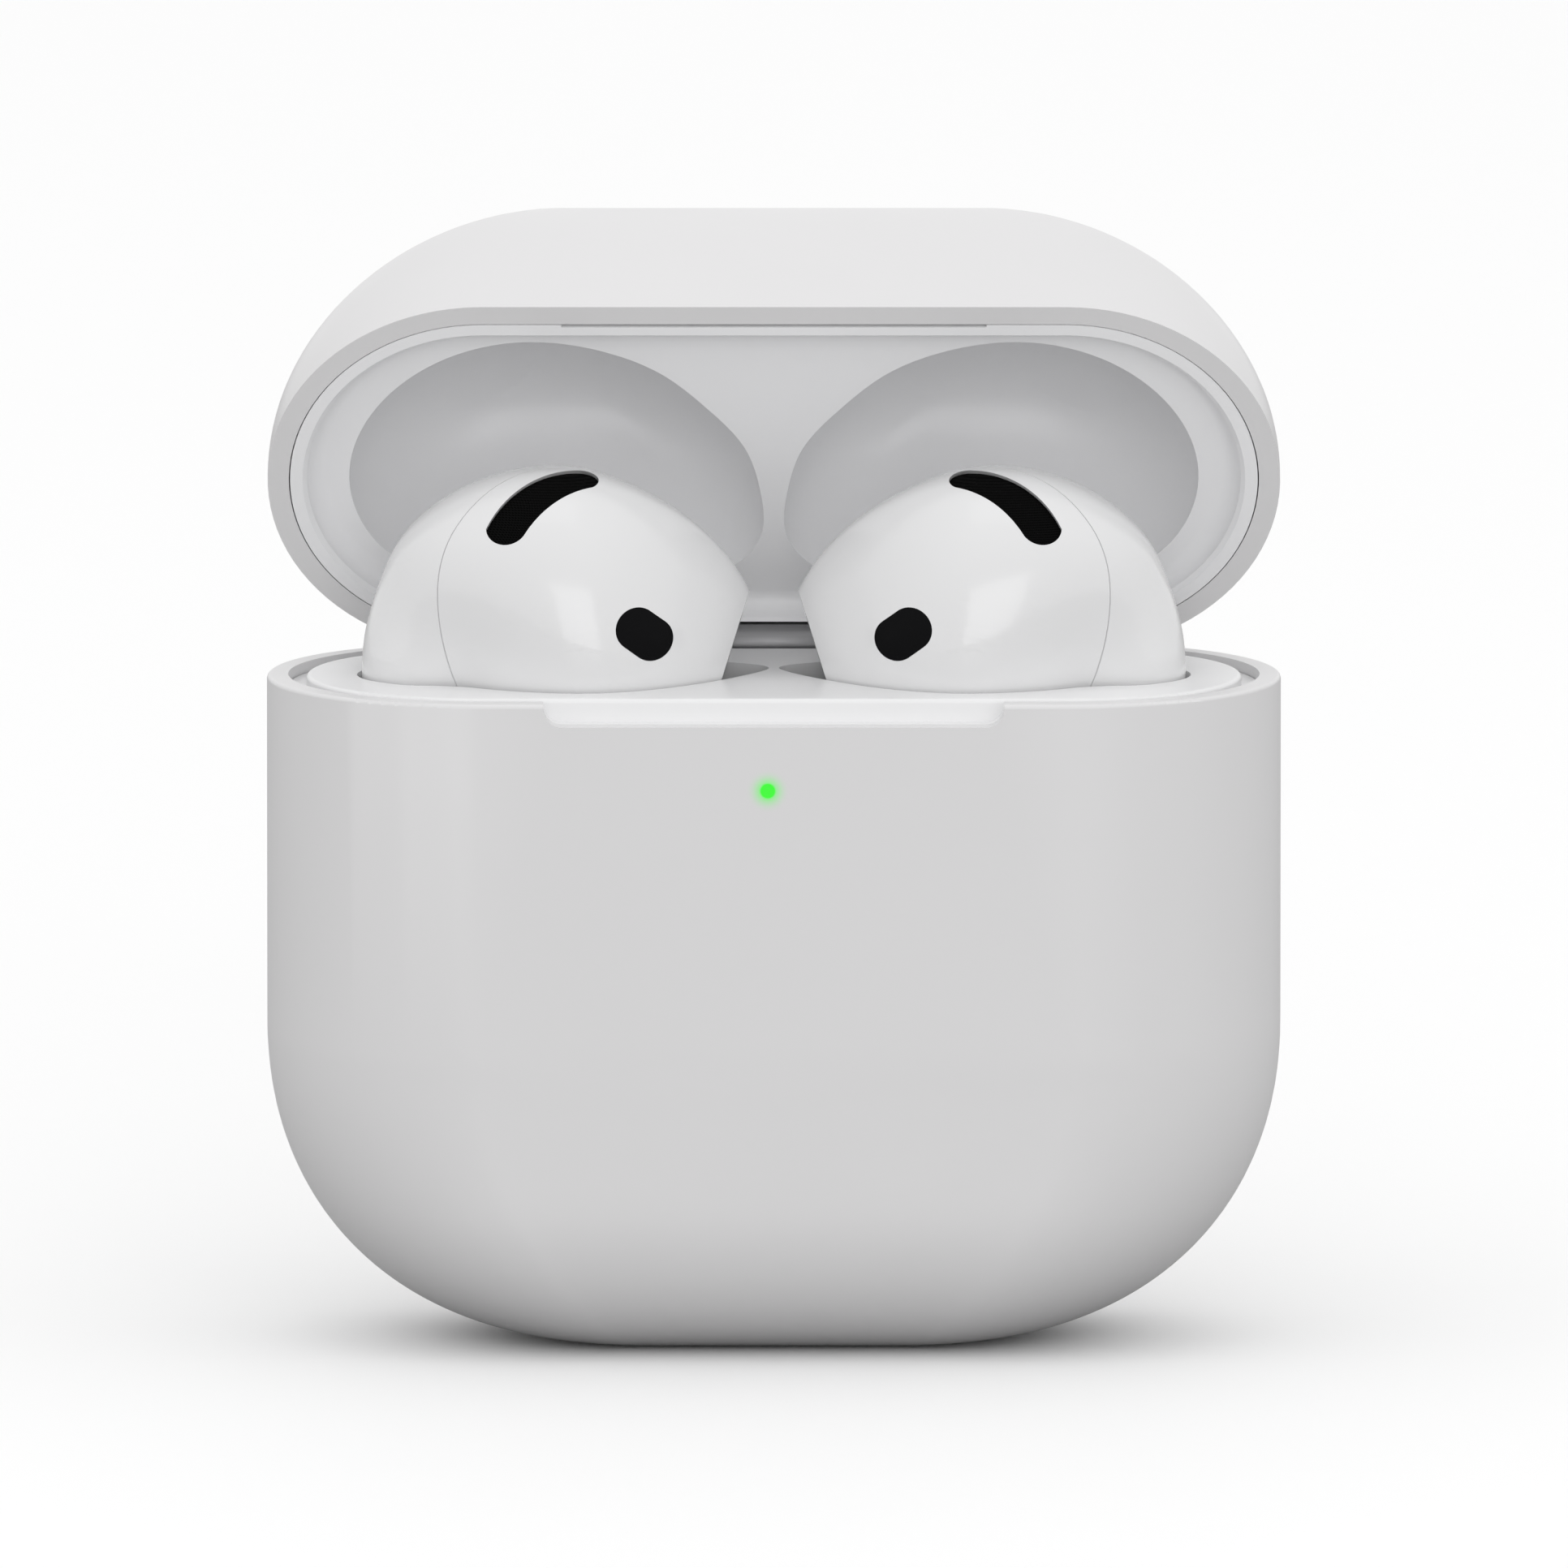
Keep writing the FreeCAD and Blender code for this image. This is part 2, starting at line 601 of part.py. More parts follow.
# ---- lid, modelled closed -----------------------------------------------------------------------
def lid_shell():
    return single(lid_form(0).cut(lid_form(WALL)).cut(hinge_cove(BARREL_HALF + 0.12)))


def recess_form(grow):
    """The hollow over the left bud: a bud-shaped mouth that closes upward like a dome."""
    mouth = [(-20.9, 2.0), (-20.5, -1.9), (-17.2, -5.9), (-12.3, -7.5), (-8.4, -6.9), (-5.6, -5.55),
             (-3.2, -3.3), (-1.4, -0.9), (-0.65, 1.8), (-0.7, 4.6), (-2.2, 6.4), (-6.0, 6.9),
             (-12.0, 6.9), (-18.4, 6.0)]
    middle = Vector(-11.2, 0.2, 0)
    foot, rise = HINGE_Z - 1, RECESS_TOP + grow - HINGE_Z - LINER_DEPTH
    sections = []
    for turn in (-14, 0, 10, 20, 30, 40, 50, 59, 68, 76, 83, 88):
        turn = math.radians(turn)
        z = HINGE_Z + LINER_DEPTH + rise * math.sin(turn)
        share = math.cos(turn) ** 0.8 if turn > 0 else 1.0
        points = []
        for x, y in mouth:
            out = Vector(x, y, 0) - middle
            out = out * ((out.Length + grow) / out.Length * share)
            points.append(middle + out + Vector(0, 0, z))
        curve = Part.BSplineCurve()
        curve.interpolate(Points=points, PeriodicFlag=True)
        sections.append(Part.Wire([curve.toShape()]))
    return Part.makeLoft(sections, True, False)


def lid_liner():
    """The lid's lining: a rim ring, a shallow hollow and one deeper hollow over each bud."""
    top = HINGE_Z + LINER_DEPTH
    block = plan_prism(WALL + FIT, HINGE_Z, top + LINER_WALL)
    boss = box(-11, 11, 7.7, PLATE_FRONT - FIT, top, 38.8)
    over = recess_form(LINER_WALL).common(box(-30, 0, -12, 12, top, 60))
    liner = block.fuse([over, mirrored(over), boss]).common(lid_form(WALL + FIT))
    hollow = plan_prism(RIM_INSET, HINGE_Z - 1, top)
    hollow = softened(hollow, 0.9, lambda e: e.BoundBox.ZMin > top - 0.1)
    mouth_edge = Part.makeLoft([stadium(HINGE_Z - 0.1, HALF_W - RIM_INSET + 0.32, HALF_D - RIM_INSET + 0.32),
                                stadium(HINGE_Z + RIM_SOFT, HALF_W - RIM_INSET, HALF_D - RIM_INSET)], True)
    hollow = hollow.fuse(mouth_edge)
    recess = recess_form(0).common(lid_form(WALL + FIT + LINER_WALL))
    liner = liner.cut([hollow, recess, mirrored(recess), hinge_cove(BARREL_HALF + 0.12)])
    plate_room = box(-HINGE_HALF, HINGE_HALF, PLATE_FRONT - FIT, HALF_D, HINGE_Z - 1, 60)
    front = -(HALF_D - WALL - FIT)
    catch_slit = box(-10.5, 10.5, front - 1, front + 0.14, HINGE_Z - 1, top + LINER_WALL + 0.2)
    cuts = [plate_room, catch_slit]
    cuts += [rod(0.62, Vector(x, PLATE_FRONT + 1, 37.2), -Y_AXIS, 2.2) for x in (-8, 8)]
    return single(liner.cut(cuts))


def lid_magnet():
    return magnet_bar(HINGE_Z + LINER_DEPTH + LINER_WALL + FIT, 1.15)


# ---- left earbud --------------------------------------------------------------------------------
def bud_hollow():
    stem = stem_form(STEM_R - STEM_WALL, 0.9, STEM_LENGTH)
    end = Part.makeSphere(STEM_R - STEM_WALL, stem_point(STEM_LENGTH))
    return head_form(-BUD_WALL).fuse([stem, end])


def stem_outside(grow=0.0):
    stem = stem_form(STEM_R + grow).fuse(Part.makeSphere(STEM_R + grow, stem_point(STEM_LENGTH)))
    return softened(single(stem), 0.6, lambda e: e.BoundBox.ZMax < BUD_FOOT + 1.6)


def vent_point(x, up):
    """A point in front of the head, in a plane that faces the way the vent does."""
    pitch = math.radians(VENT_PITCH)
    return Vector(x, up * math.sin(pitch) - 30 * math.cos(pitch), up * math.cos(pitch) + 30 * math.sin(pitch))


def vent_prism(gap):
    """A crescent over the top of the head, beside the seam; `gap` makes it that much slimmer."""
    brow, crown = vent_point(-14.2 + gap, 31.0), vent_point(-9.6, 35.0 - gap)
    tip, heel = vent_point(-8.95 - gap, 33.5 + gap), vent_point(-12.35 - gap, 30.4 + gap)
    wire = Part.Wire([Part.Arc(brow, vent_point(-12.55 + gap, 33.3 - gap), crown).toShape(),
                      Part.Arc(crown, vent_point(-8.7 - gap, 34.45), tip).toShape(),
                      Part.Arc(tip, vent_point(-11.0 - gap, 32.1 + gap), heel).toShape(),
                      Part.Arc(heel, vent_point(-13.5, 30.05 + gap), brow).toShape()])
    pitch = math.radians(VENT_PITCH)
    return prism(wire, Vector(0, math.cos(pitch), -math.sin(pitch)) * 6.5)


def window_prism(grow):
    along = Vector(math.cos(math.radians(WINDOW_TILT)), 0, -math.sin(math.radians(WINDOW_TILT)))
    wire = slot_wire(WINDOW_HALF, WINDOW_R + grow, Vector(WINDOW_AT[0], -9, WINDOW_AT[1]), along, Y_AXIS)
    return prism(wire, Vector(0, 6, 0))


def bud_front_shell():
    shell = head_form(0).cut(bud_hollow())
    shell = shell.common(half_space(SEAM_NORMAL, SEAM_OFFSET + SEAM_GAP / 2))
    shell = shell.cut(half_space(NOZZLE_NORMAL, NOZZLE_NORMAL.dot(NOZZLE_AT)))
    return single(shell.cut([stem_outside(SEAM_GAP), vent_prism(0), window_prism(0)]))


def bud_rear_shell():
    shell = head_form(0).cut(half_space(SEAM_NORMAL, SEAM_OFFSET - SEAM_GAP / 2))
    shell = shell.fuse(stem_outside()).cut(bud_hollow())
    holes = [rod(0.66, p - DRAW_AXIS, DRAW_AXIS, 3) for p in pin_points()]
    return single(shell.cut(holes))


def bud_vent_mesh():
    return single(vent_prism(0.03).common(head_form(-0.2)).cut(head_form(-0.45)))


def bud_sensor_window():
    return single(window_prism(-0.03).common(head_form(-0.03)).cut(head_form(-0.55)))


def bud_sensor():
    return single(rounded_box(-7.2, -5.6, -4.2, -3.7, 35.0, 36.5, 0.2, Y_AXIS))


def bud_nozzle_mesh():
    inside = head_form(-BUD_WALL - 0.04)
    slab = half_space(NOZZLE_NORMAL, NOZZLE_NORMAL.dot(NOZZLE_AT) - 0.4).cut(half_space(NOZZLE_NORMAL, NOZZLE_NORMAL.dot(NOZZLE_AT) - 0.15))
    return single(inside.common(slab))


def bud_driver():
    """The loudspeaker: a flat can with a smaller magnet pot behind it."""
    can = rod(3.1, Vector(-5.6, 0.3, 34.5), X_AXIS, 1.5)
    return single(can.fuse(rod(2.4, Vector(-6.9, 0.3, 34.5), X_AXIS, 1.4)))


def bud_battery():
    return single(rod(3.6, Vector(-13.0, -0.5, 34.0), X_AXIS, 3.4).fuse(
        rod(3.2, Vector(-9.7, -0.5, 34.0), X_AXIS, 0.25)))


def bud_board():
    return single(rounded_box(-9.0, -8.5, -3.4, 2.2, 30.6, 38.4, 0.8, X_AXIS))


def bud_chips():
    sizes = [(-0.6, 35.6, 3.2, 3.2, 0.7), (-1.5, 32.4, 2.0, 1.6, 0.5), (1.0, 32.4, 1.0, 1.8, 0.5)]
    return group([box(-8.47, -8.47 + t, y - w / 2, y + w / 2, z - h / 2, z + h / 2)
                  for y, z, w, h, t in sizes])


def bud_contacts():
    return group([rod(0.62, p + DRAW_AXIS * 0.35, DRAW_AXIS, 0.85) for p in pin_points()])


def along_stem(width, depth, start, end, offset):
    """A block that runs along the stem, moved off its axis by `offset`."""
    block = Part.makeBox(width, depth, end - start, Vector(-width / 2, -depth / 2 + offset, 0))
    block.Placement = Placement(stem_point(start), Rotation(X_AXIS, DRAW))
    return block


def bud_stem_flex():
    return along_stem(2.0, 0.16, 1.0, 14.5, 0.3)


def bud_microphone():
    return along_stem(1.9, 0.9, 1.6, 4.2, -0.45)


# ---- nodes --------------------------------------------------------------------------------------
def opened(shape):
    """A lid piece turned from closed to the pose that the case is shown in."""
    return shape.copy().rotate(HINGE, X_AXIS, -LID_OPEN)


BASE_PARTS = {
    "base_shell": base_shell,
    "bud_tray": bud_tray,
    "inner_frame": inner_frame,
    "battery": battery,
    "battery_board": battery_board,
    "battery_leads": battery_leads,
    "main_board": main_board,
    "board_chips": board_chips,
    "board_screws": board_screws,
    "usb_c_shell": usb_c_shell,
    "usb_c_tongue": usb_c_tongue,
    "status_light_window": status_light_window,
    "status_led": status_led,
    "front_touch_flex": front_flex,
    "front_flex_tail": front_flex_tail,
    "base_magnet": base_magnet,
    "bud_hold_magnets": hold_magnets,
    "hinge_base_bracket": hinge_base_bracket,
    "hinge_base_screws": hinge_base_screws,
    "hinge_pin": hinge_pin,
    "hinge_washers": hinge_washers,
}
WELL_PARTS = {
    "charge_pins": charge_pins,
    "contact_board": contact_board,
    "contact_flex": contact_flex,
}
LID_PARTS = {
    "lid_shell": lid_shell,
    "lid_liner": lid_liner,
    "lid_magnet": lid_magnet,
    "hinge_lid_bracket": hinge_lid_bracket,
    "hinge_lid_screws": hinge_lid_screws,
}
BUD_PARTS = {
    "front_shell": bud_front_shell,
    "rear_shell": bud_rear_shell,
    "vent_mesh": bud_vent_mesh,
    "sensor_window": bud_sensor_window,
    "sensor": bud_sensor,
    "nozzle_mesh": bud_nozzle_mesh,
    "driver": bud_driver,
    "battery": bud_battery,
    "board": bud_board,
    "chips": bud_chips,
    "contacts": bud_contacts,
    "stem_flex": bud_stem_flex,
    "microphone": bud_microphone,
}


def build():
    nodes = {name: make() for name, make in BASE_PARTS.items()}
    nodes.update({name: opened(make()) for name, make in LID_PARTS.items()})
    for name, make in WELL_PARTS.items():
        shape = make()
        nodes["left_" + name] = shape
        nodes["right_" + name] = mirrored(shape)
    for name, make in BUD_PARTS.items():
        shape = make()
        nodes["left_bud_" + name] = shape
        nodes["right_bud_" + name] = mirrored(shape)
    return nodes


def main():
    os.makedirs("parts", exist_ok=True)
    for name, shape in build().items():
        shape.exportStep("parts/" + name + ".step")


main()
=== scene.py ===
"""A pocket charging case with its two earbuds: finishes, small fittings and studio stage."""

import math

import bpy
import bmesh
from mathutils import Matrix, Vector


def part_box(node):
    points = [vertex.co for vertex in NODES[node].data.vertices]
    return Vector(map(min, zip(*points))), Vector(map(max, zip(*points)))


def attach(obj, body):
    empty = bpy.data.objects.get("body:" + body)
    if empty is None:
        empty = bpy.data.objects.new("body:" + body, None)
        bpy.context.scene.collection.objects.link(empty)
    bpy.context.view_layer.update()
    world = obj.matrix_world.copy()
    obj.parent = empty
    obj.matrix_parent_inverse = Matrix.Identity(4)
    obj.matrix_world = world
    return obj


bl_info = {
    "name": "Earbud charging case",
    "version": (1, 0, 0),
    "blender": (4, 5, 0),
    "location": "3D View > Sidebar > Earbud case",
    "description": "Finishes an earbud charging case and sets it on a studio floor",
    "category": "Object",
}

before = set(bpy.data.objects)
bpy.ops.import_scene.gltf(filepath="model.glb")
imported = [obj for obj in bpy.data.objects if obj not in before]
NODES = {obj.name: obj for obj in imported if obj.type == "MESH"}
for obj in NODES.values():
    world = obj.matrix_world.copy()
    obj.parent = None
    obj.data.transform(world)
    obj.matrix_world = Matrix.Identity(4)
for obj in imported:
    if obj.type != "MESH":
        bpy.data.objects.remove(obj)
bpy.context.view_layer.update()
MM = 0.001
SIDES = ("left", "right")

SHARP_ANGLE = math.radians(28)      # edges bent more than this stay sharp
MERGE_DISTANCE = 2e-7
FRONT_WALL_Y = -0.0095              # the status light shows only on the wall ahead of this

# contacts on the socket's tongue
CONTACT_MARGIN = 0.3 * MM           # clear at each end of a row
CONTACT_SHARE = 0.28                # half a contact's width, as a share of the pitch
CONTACT_START = 0.5 * MM            # from the tongue's tip
CONTACT_SUNK, CONTACT_PROUD = 0.02 * MM, 0.03 * MM
CONTACT_LENGTH, LONG_CONTACT_LENGTH = 3.0 * MM, 3.6 * MM
LONG_CONTACTS = (0, 3, 8, 11)       # power and ground meet first

# studio
FLOOR_REACH = 3.0
LAMP_AIM = (0, 0, 0.025)
PANELS = (("front_panel", (0.12, -0.9, 0.2), 0.6, 1.9),     # name, place, size, watts
          ("top_panel", (0.0, -0.1, 0.7), 0.3, 0.12))
SENSOR_WIDTH = 36.0
CLIP_NEAR, CLIP_FAR = 0.1, 20.0


# ---- settings -----------------------------------------------------------------------------------
def colour_setting(name, description, default):
    return bpy.props.FloatVectorProperty(
        name=name, description=description, default=default, subtype="COLOR", size=3, min=0, max=1)


def length_setting(name, description, default):
    return bpy.props.FloatProperty(
        name=name, description=description, default=default,
        subtype="DISTANCE", unit="LENGTH", min=0)


def share_setting(name, description, default):
    return bpy.props.FloatProperty(
        name=name, description=description, default=default, subtype="FACTOR", min=0, max=1)


class MouldingSettings(bpy.types.PropertyGroup):
    """Colours and gloss of the moulded plastic."""

    shell_colour: colour_setting("Shell", "Colour of the outer shells", (0.73, 0.725, 0.73))
    lining_colour: colour_setting("Tray", "Colour of the tray", (0.82, 0.82, 0.825))
    # Painted light: the lid's lining is a lighter copy of the tray's white plastic, to lift the
    # shade inside the lid's hollow
    lid_lining_lightened_colour: colour_setting("Lid lining", "Colour inside the lid", (0.88, 0.88, 0.89))
    bud_colour: colour_setting("Earbud", "Colour of the earbuds", (0.75, 0.75, 0.755))
    shell_roughness: share_setting("Shell roughness", "0 is mirror gloss", 0.34)
    lining_roughness: share_setting("Lining roughness", "0 is mirror gloss", 0.32)
    bud_roughness: share_setting("Earbud roughness", "0 is mirror gloss", 0.2)
    grain: length_setting("Grain", "Size of the mould's fine ripple", 0.0009)


class StatusLightSettings(bpy.types.PropertyGroup):
    """The green light that shines through the front wall."""

    place_x: length_setting("Across", "How far left of the middle it sits", 0.0003)
    place_z: length_setting("Height", "Its height above the foot", 0.0287)
    core: length_setting("Core", "Radius of the bright spot", 0.0003)
    halo: length_setting("Halo", "Radius at which the glow ends", 0.00125)
    colour: colour_setting("Colour", "Colour of the light", (0.03, 0.8, 0.02))
    brightness: share_setting("Brightness", "Of the glow itself", 0.3)


class StageSettings(bpy.types.PropertyGroup):
    """Camera, floor and lights."""

    elevation: bpy.props.FloatProperty(
        name="Elevation", description="Camera angle above the horizon", default=math.radians(8.5),
        subtype="ANGLE", unit="ROTATION")
    distance: length_setting("Distance", "From the camera to the case", 3.0)
    view_width: length_setting("View width", "Width of what the camera sees at the case", 0.0775)
    aim_x: length_setting("Aim across", "The camera looks this far right of the middle", 0.0005)
    aim_z: length_setting("Aim height", "The camera looks at this height", 0.02747)
    floor_colour: colour_setting("Floor", "Colour of the floor", (0.97, 0.97, 0.97))
    bounce: share_setting("Bounce", "How much light the floor throws back at the case", 0.42)
    sky: bpy.props.FloatProperty(
        name="Sky", description="Brightness of the even light", default=0.99, min=0)


# ---- node helpers -------------------------------------------------------------------------------
SOCKETS = {"colour": "NodeSocketColor", "number": "NodeSocketFloat", "vector": "NodeSocketVector"}


class Effect:
    """A shader node group under construction, with short ways to add and join its nodes."""

    def __init__(self, name, inputs, outputs):
        self.tree = bpy.data.node_groups.new(name, "ShaderNodeTree")
        new_socket = self.tree.interface.new_socket
        for label, kind, default in inputs:
            socket = new_socket(label, in_out="INPUT", socket_type=SOCKETS[kind])
            socket.default_value = default
        for label, kind in outputs:
            new_socket(label, in_out="OUTPUT", socket_type=SOCKETS[kind])
        self.ins = self.tree.nodes.new("NodeGroupInput").outputs
        self.outs = self.tree.nodes.new("NodeGroupOutput").inputs

    def add(self, kind, **settings):
        node = self.tree.nodes.new(kind)
        for key, value in settings.items():
            setattr(node, key, value)
        return node

    def join(self, source, target):
        self.tree.links.new(source, target)

    def feed(self, target, value):
        if isinstance(value, bpy.types.NodeSocket):
            self.join(value, target)
        else:
            target.default_value = value

    def math(self, operation, *values):
        node = self.add("ShaderNodeMath", operation=operation)
        for socket, value in zip(node.inputs, values):
            self.feed(socket, value)
        return node.outputs[0]

    def place(self, scale=(1, 1, 1)):
        """Position on the piece, in metres, stretched by `scale`."""
        where = self.add("ShaderNodeTexCoord").outputs["Object"]
        stretch = self.add("ShaderNodeVectorMath", operation="MULTIPLY")
        self.join(where, stretch.inputs[0])
        stretch.inputs[1].default_value = scale
        return stretch.outputs[0]

    def noise(self, where, scale, detail=2.0):
        node = self.add("ShaderNodeTexNoise")
        self.join(where, node.inputs["Vector"])
        self.feed(node.inputs["Scale"], scale)
        node.inputs["Detail"].default_value = detail
        return node.outputs["Fac"]

    def spread(self, value, low, high):
        """A 0 to 1 value as one between low and high."""
        node = self.add("ShaderNodeMapRange")
        self.join(value, node.inputs["Value"])
        self.feed(node.inputs["To Min"], low)
        self.feed(node.inputs["To Max"], high)
        return node.outputs["Result"]

    def tint(self, mask, first, second):
        node = self.add("ShaderNodeMix", data_type="RGBA")
        self.feed(node.inputs[0], mask)
        self.feed(node.inputs[6], first)
        self.feed(node.inputs[7], second)
        return node.outputs[2]


def mould_effect():
    """Fine ripple, faint clouding of the colour and gloss of injection-moulded plastic."""
    e = Effect("moulded_surface",
               [("Colour", "colour", (0.8, 0.8, 0.8, 1)), ("Roughness", "number", 0.3),
                ("Grain", "number", 0.0009), ("Clouding", "number", 0.02)],
               [("Colour", "colour"), ("Roughness", "number"), ("Height", "number")])
    fine = e.math("DIVIDE", 1.0, e.ins["Grain"])
    ripple = e.noise(e.place(), fine, 3.0)
    cloud = e.noise(e.place(), 160.0, 2.0)
    darker = e.add("ShaderNodeHueSaturation")
    e.join(e.ins["Colour"], darker.inputs["Color"])
    shade = e.math("SUBTRACT", 1.0, e.math("MULTIPLY", cloud, e.ins["Clouding"]))
    e.join(shade, darker.inputs["Value"])
    e.join(darker.outputs[0], e.outs["Colour"])
    swing = e.math("MULTIPLY", e.math("SUBTRACT", cloud, 0.5), 0.12)
    e.join(e.math("ADD", e.ins["Roughness"], swing), e.outs["Roughness"])
    e.join(ripple, e.outs["Height"])
    return e.tree


def brushed_effect():
    """Long fine scratches of drawn or brushed metal, along X."""
    e = Effect("brushed_lines",
               [("Roughness", "number", 0.3), ("Fineness", "number", 9000.0),
                ("Colour", "colour", (0.6, 0.6, 0.6, 1))],
               [("Colour", "colour"), ("Roughness", "number"), ("Height", "number")])
    lines = e.noise(e.place((0.06, 1, 1)), e.ins["Fineness"], 2.0)
    e.join(e.spread(lines, e.math("MULTIPLY", e.ins["Roughness"], 0.75),
                    e.math("MULTIPLY", e.ins["Roughness"], 1.3)), e.outs["Roughness"])
    pale = e.add("ShaderNodeHueSaturation")
    e.join(e.ins["Colour"], pale.inputs["Color"])
    e.join(e.spread(lines, 0.85, 1.1), pale.inputs["Value"])
    e.join(pale.outputs[0], e.outs["Colour"])
    e.join(lines, e.outs["Height"])
    return e.tree


def weave_effect():
    """A fine woven mesh: crossing wires with square holes between them."""
    e = Effect("woven_wires",
               [("Pitch", "number", 0.00016), ("Wire", "colour", (0.3, 0.3, 0.3, 1)),
                ("Hole", "colour", (0.01, 0.01, 0.01, 1))],
               [("Colour", "colour"), ("Height", "number")])
    parts = e.add("ShaderNodeSeparateXYZ")
    e.join(e.place(), parts.inputs[0])
    turns = e.math("DIVIDE", 2 * math.pi, e.ins["Pitch"])
    across = e.math("ADD", parts.outputs["X"], parts.outputs["Y"])
    first = e.math("SINE", e.math("MULTIPLY", across, turns))
    second = e.math("SINE", e.math("MULTIPLY", parts.outputs["Z"], turns))
    top = e.math("MAXIMUM", first, second)
    hole = e.math("LESS_THAN", top, 0.15)
    e.join(e.tint(hole, e.ins["Wire"], e.ins["Hole"]), e.outs["Colour"])
    e.join(top, e.outs["Height"])
    return e.tree


def glow_effect():
    """Light soaking through a thin white wall: a bright core and a soft halo round one spot."""
    e = Effect("light_through_wall",
               [("Across", "number", 0.0), ("Height", "number", 0.0287), ("Core", "number", 0.0004),
                ("Halo", "number", 0.001), ("Colour", "colour", (0, 1, 0, 1)),
                ("Wall", "colour", (0.8, 0.8, 0.8, 1))],
               [("Emission", "colour"), ("Colour", "colour")])
    parts = e.add("ShaderNodeSeparateXYZ")
    e.join(e.place(), parts.inputs[0])
    dx = e.math("SUBTRACT", parts.outputs["X"], e.ins["Across"])
    dz = e.math("SUBTRACT", parts.outputs["Z"], e.ins["Height"])
    away = e.math("SQRT", e.math("ADD", e.math("MULTIPLY", dx, dx), e.math("MULTIPLY", dz, dz)))
    core_start = e.math("MULTIPLY", e.ins["Core"], 0.55)
    core_end = e.math("MULTIPLY", e.ins["Core"], 1.5)
    core = smooth_fall(e, away, core_start, core_end)
    halo = smooth_fall(e, away, e.math("MULTIPLY", e.ins["Core"], 0.5), e.ins["Halo"])
    soft = e.math("MULTIPLY", e.math("MULTIPLY", halo, halo), 0.75)
    front = e.math("LESS_THAN", parts.outputs["Y"], FRONT_WALL_Y)
    mask = e.math("MULTIPLY", e.math("MINIMUM", e.math("ADD", core, soft), 1.0), front)
    e.join(e.tint(mask, (0, 0, 0, 1), e.ins["Colour"]), e.outs["Emission"])
    e.join(e.tint(mask, e.ins["Wall"], e.ins["Colour"]), e.outs["Colour"])
    return e.tree


def smooth_fall(e, value, start, end):
    """1 before `start`, 0 after `end`, with a soft slope between."""
    node = e.add("ShaderNodeMapRange", interpolation_type="SMOOTHSTEP")
    e.join(value, node.inputs["Value"])
    e.feed(node.inputs["From Min"], start)
    e.feed(node.inputs["From Max"], end)
    node.inputs["To Min"].default_value = 1.0
    node.inputs["To Max"].default_value = 0.0
    return node.outputs["Result"]


def print_effect():
    """A circuit board's solder mask with raised tracks and tinned pads."""
    e = Effect("printed_tracks",
               [("Mask colour", "colour", (0.01, 0.09, 0.04, 1)),
                ("Pad colour", "colour", (0.7, 0.6, 0.35, 1)), ("Pitch", "number", 0.0011)],
               [("Colour", "colour"), ("Roughness", "number"), ("Metal", "number"),
                ("Height", "number")])
    cells = e.add("ShaderNodeTexVoronoi", feature="DISTANCE_TO_EDGE")
    e.join(e.place(), cells.inputs["Vector"])
    e.join(e.math("DIVIDE", 1.0, e.ins["Pitch"]), cells.inputs["Scale"])
    cells.inputs["Randomness"].default_value = 0.35
    track = e.math("LESS_THAN", cells.outputs["Distance"], 0.07)
    dots = e.add("ShaderNodeTexVoronoi", feature="F1")
    e.join(e.place(), dots.inputs["Vector"])
    e.join(e.math("DIVIDE", 0.6, e.ins["Pitch"]), dots.inputs["Scale"])
    pad = e.math("LESS_THAN", dots.outputs["Distance"], 0.14)
    brighter = e.add("ShaderNodeHueSaturation")
    e.join(e.ins["Mask colour"], brighter.inputs["Color"])
    e.join(e.spread(track, 1.0, 1.9), brighter.inputs["Value"])
    e.join(e.tint(pad, brighter.outputs[0], e.ins["Pad colour"]), e.outs["Colour"])
    e.join(e.spread(pad, 0.38, 0.25), e.outs["Roughness"])
    e.join(pad, e.outs["Metal"])
    e.join(e.math("MAXIMUM", track, pad), e.outs["Height"])
    return e.tree


EFFECTS = {}


def effect(name):
    """Each effect is built once and shared."""
    makers = {"mould": mould_effect, "brushed": brushed_effect, "weave": weave_effect,
              "glow": glow_effect, "print": print_effect}
    if name not in EFFECTS:
        EFFECTS[name] = makers[name]()
    return EFFECTS[name]


# ---- materials ----------------------------------------------------------------------------------
def rgba(colour):
    return (*colour, 1.0)


class Finish:
    """A material under construction: its shader, and short ways to place effects and a bump."""

    def __init__(self, name):
        self.material = bpy.data.materials.new(name)
        self.material.use_nodes = True
        self.tree = self.material.node_tree
        self.shader = self.tree.nodes["Principled BSDF"]

    def place(self, name, **values):
        node = self.tree.nodes.new("ShaderNodeGroup")
        node.node_tree = effect(name)
        for key, value in values.items():
            node.inputs[key.replace("_", " ")].default_value = value
        return node

    def join(self, source, socket):
        self.tree.links.new(source, self.shader.inputs[socket])

    def bump(self, height, depth, strength=1.0):
        node = self.tree.nodes.new("ShaderNodeBump")
        node.inputs["Distance"].default_value = depth
        node.inputs["Strength"].default_value = strength
        self.tree.links.new(height, node.inputs["Height"])
        self.join(node.outputs["Normal"], "Normal")

    def set(self, **values):
        for key, value in values.items():
            self.shader.inputs[key.replace("_", " ")].default_value = value


def moulded(name, colour, roughness, grain, depth=2e-6, clouding=0.02, coat=0.0):
    finish = Finish(name)
    surface = finish.place("mould", Colour=rgba(colour), Roughness=roughness, Grain=grain,
                           Clouding=clouding)
    finish.surface = surface
    finish.join(surface.outputs["Colour"], "Base Color")
    finish.join(surface.outputs["Roughness"], "Roughness")
    finish.bump(surface.outputs["Height"], depth, 0.35)
    finish.set(Coat_Weight=coat, Coat_Roughness=0.08, IOR=1.5)
    return finish


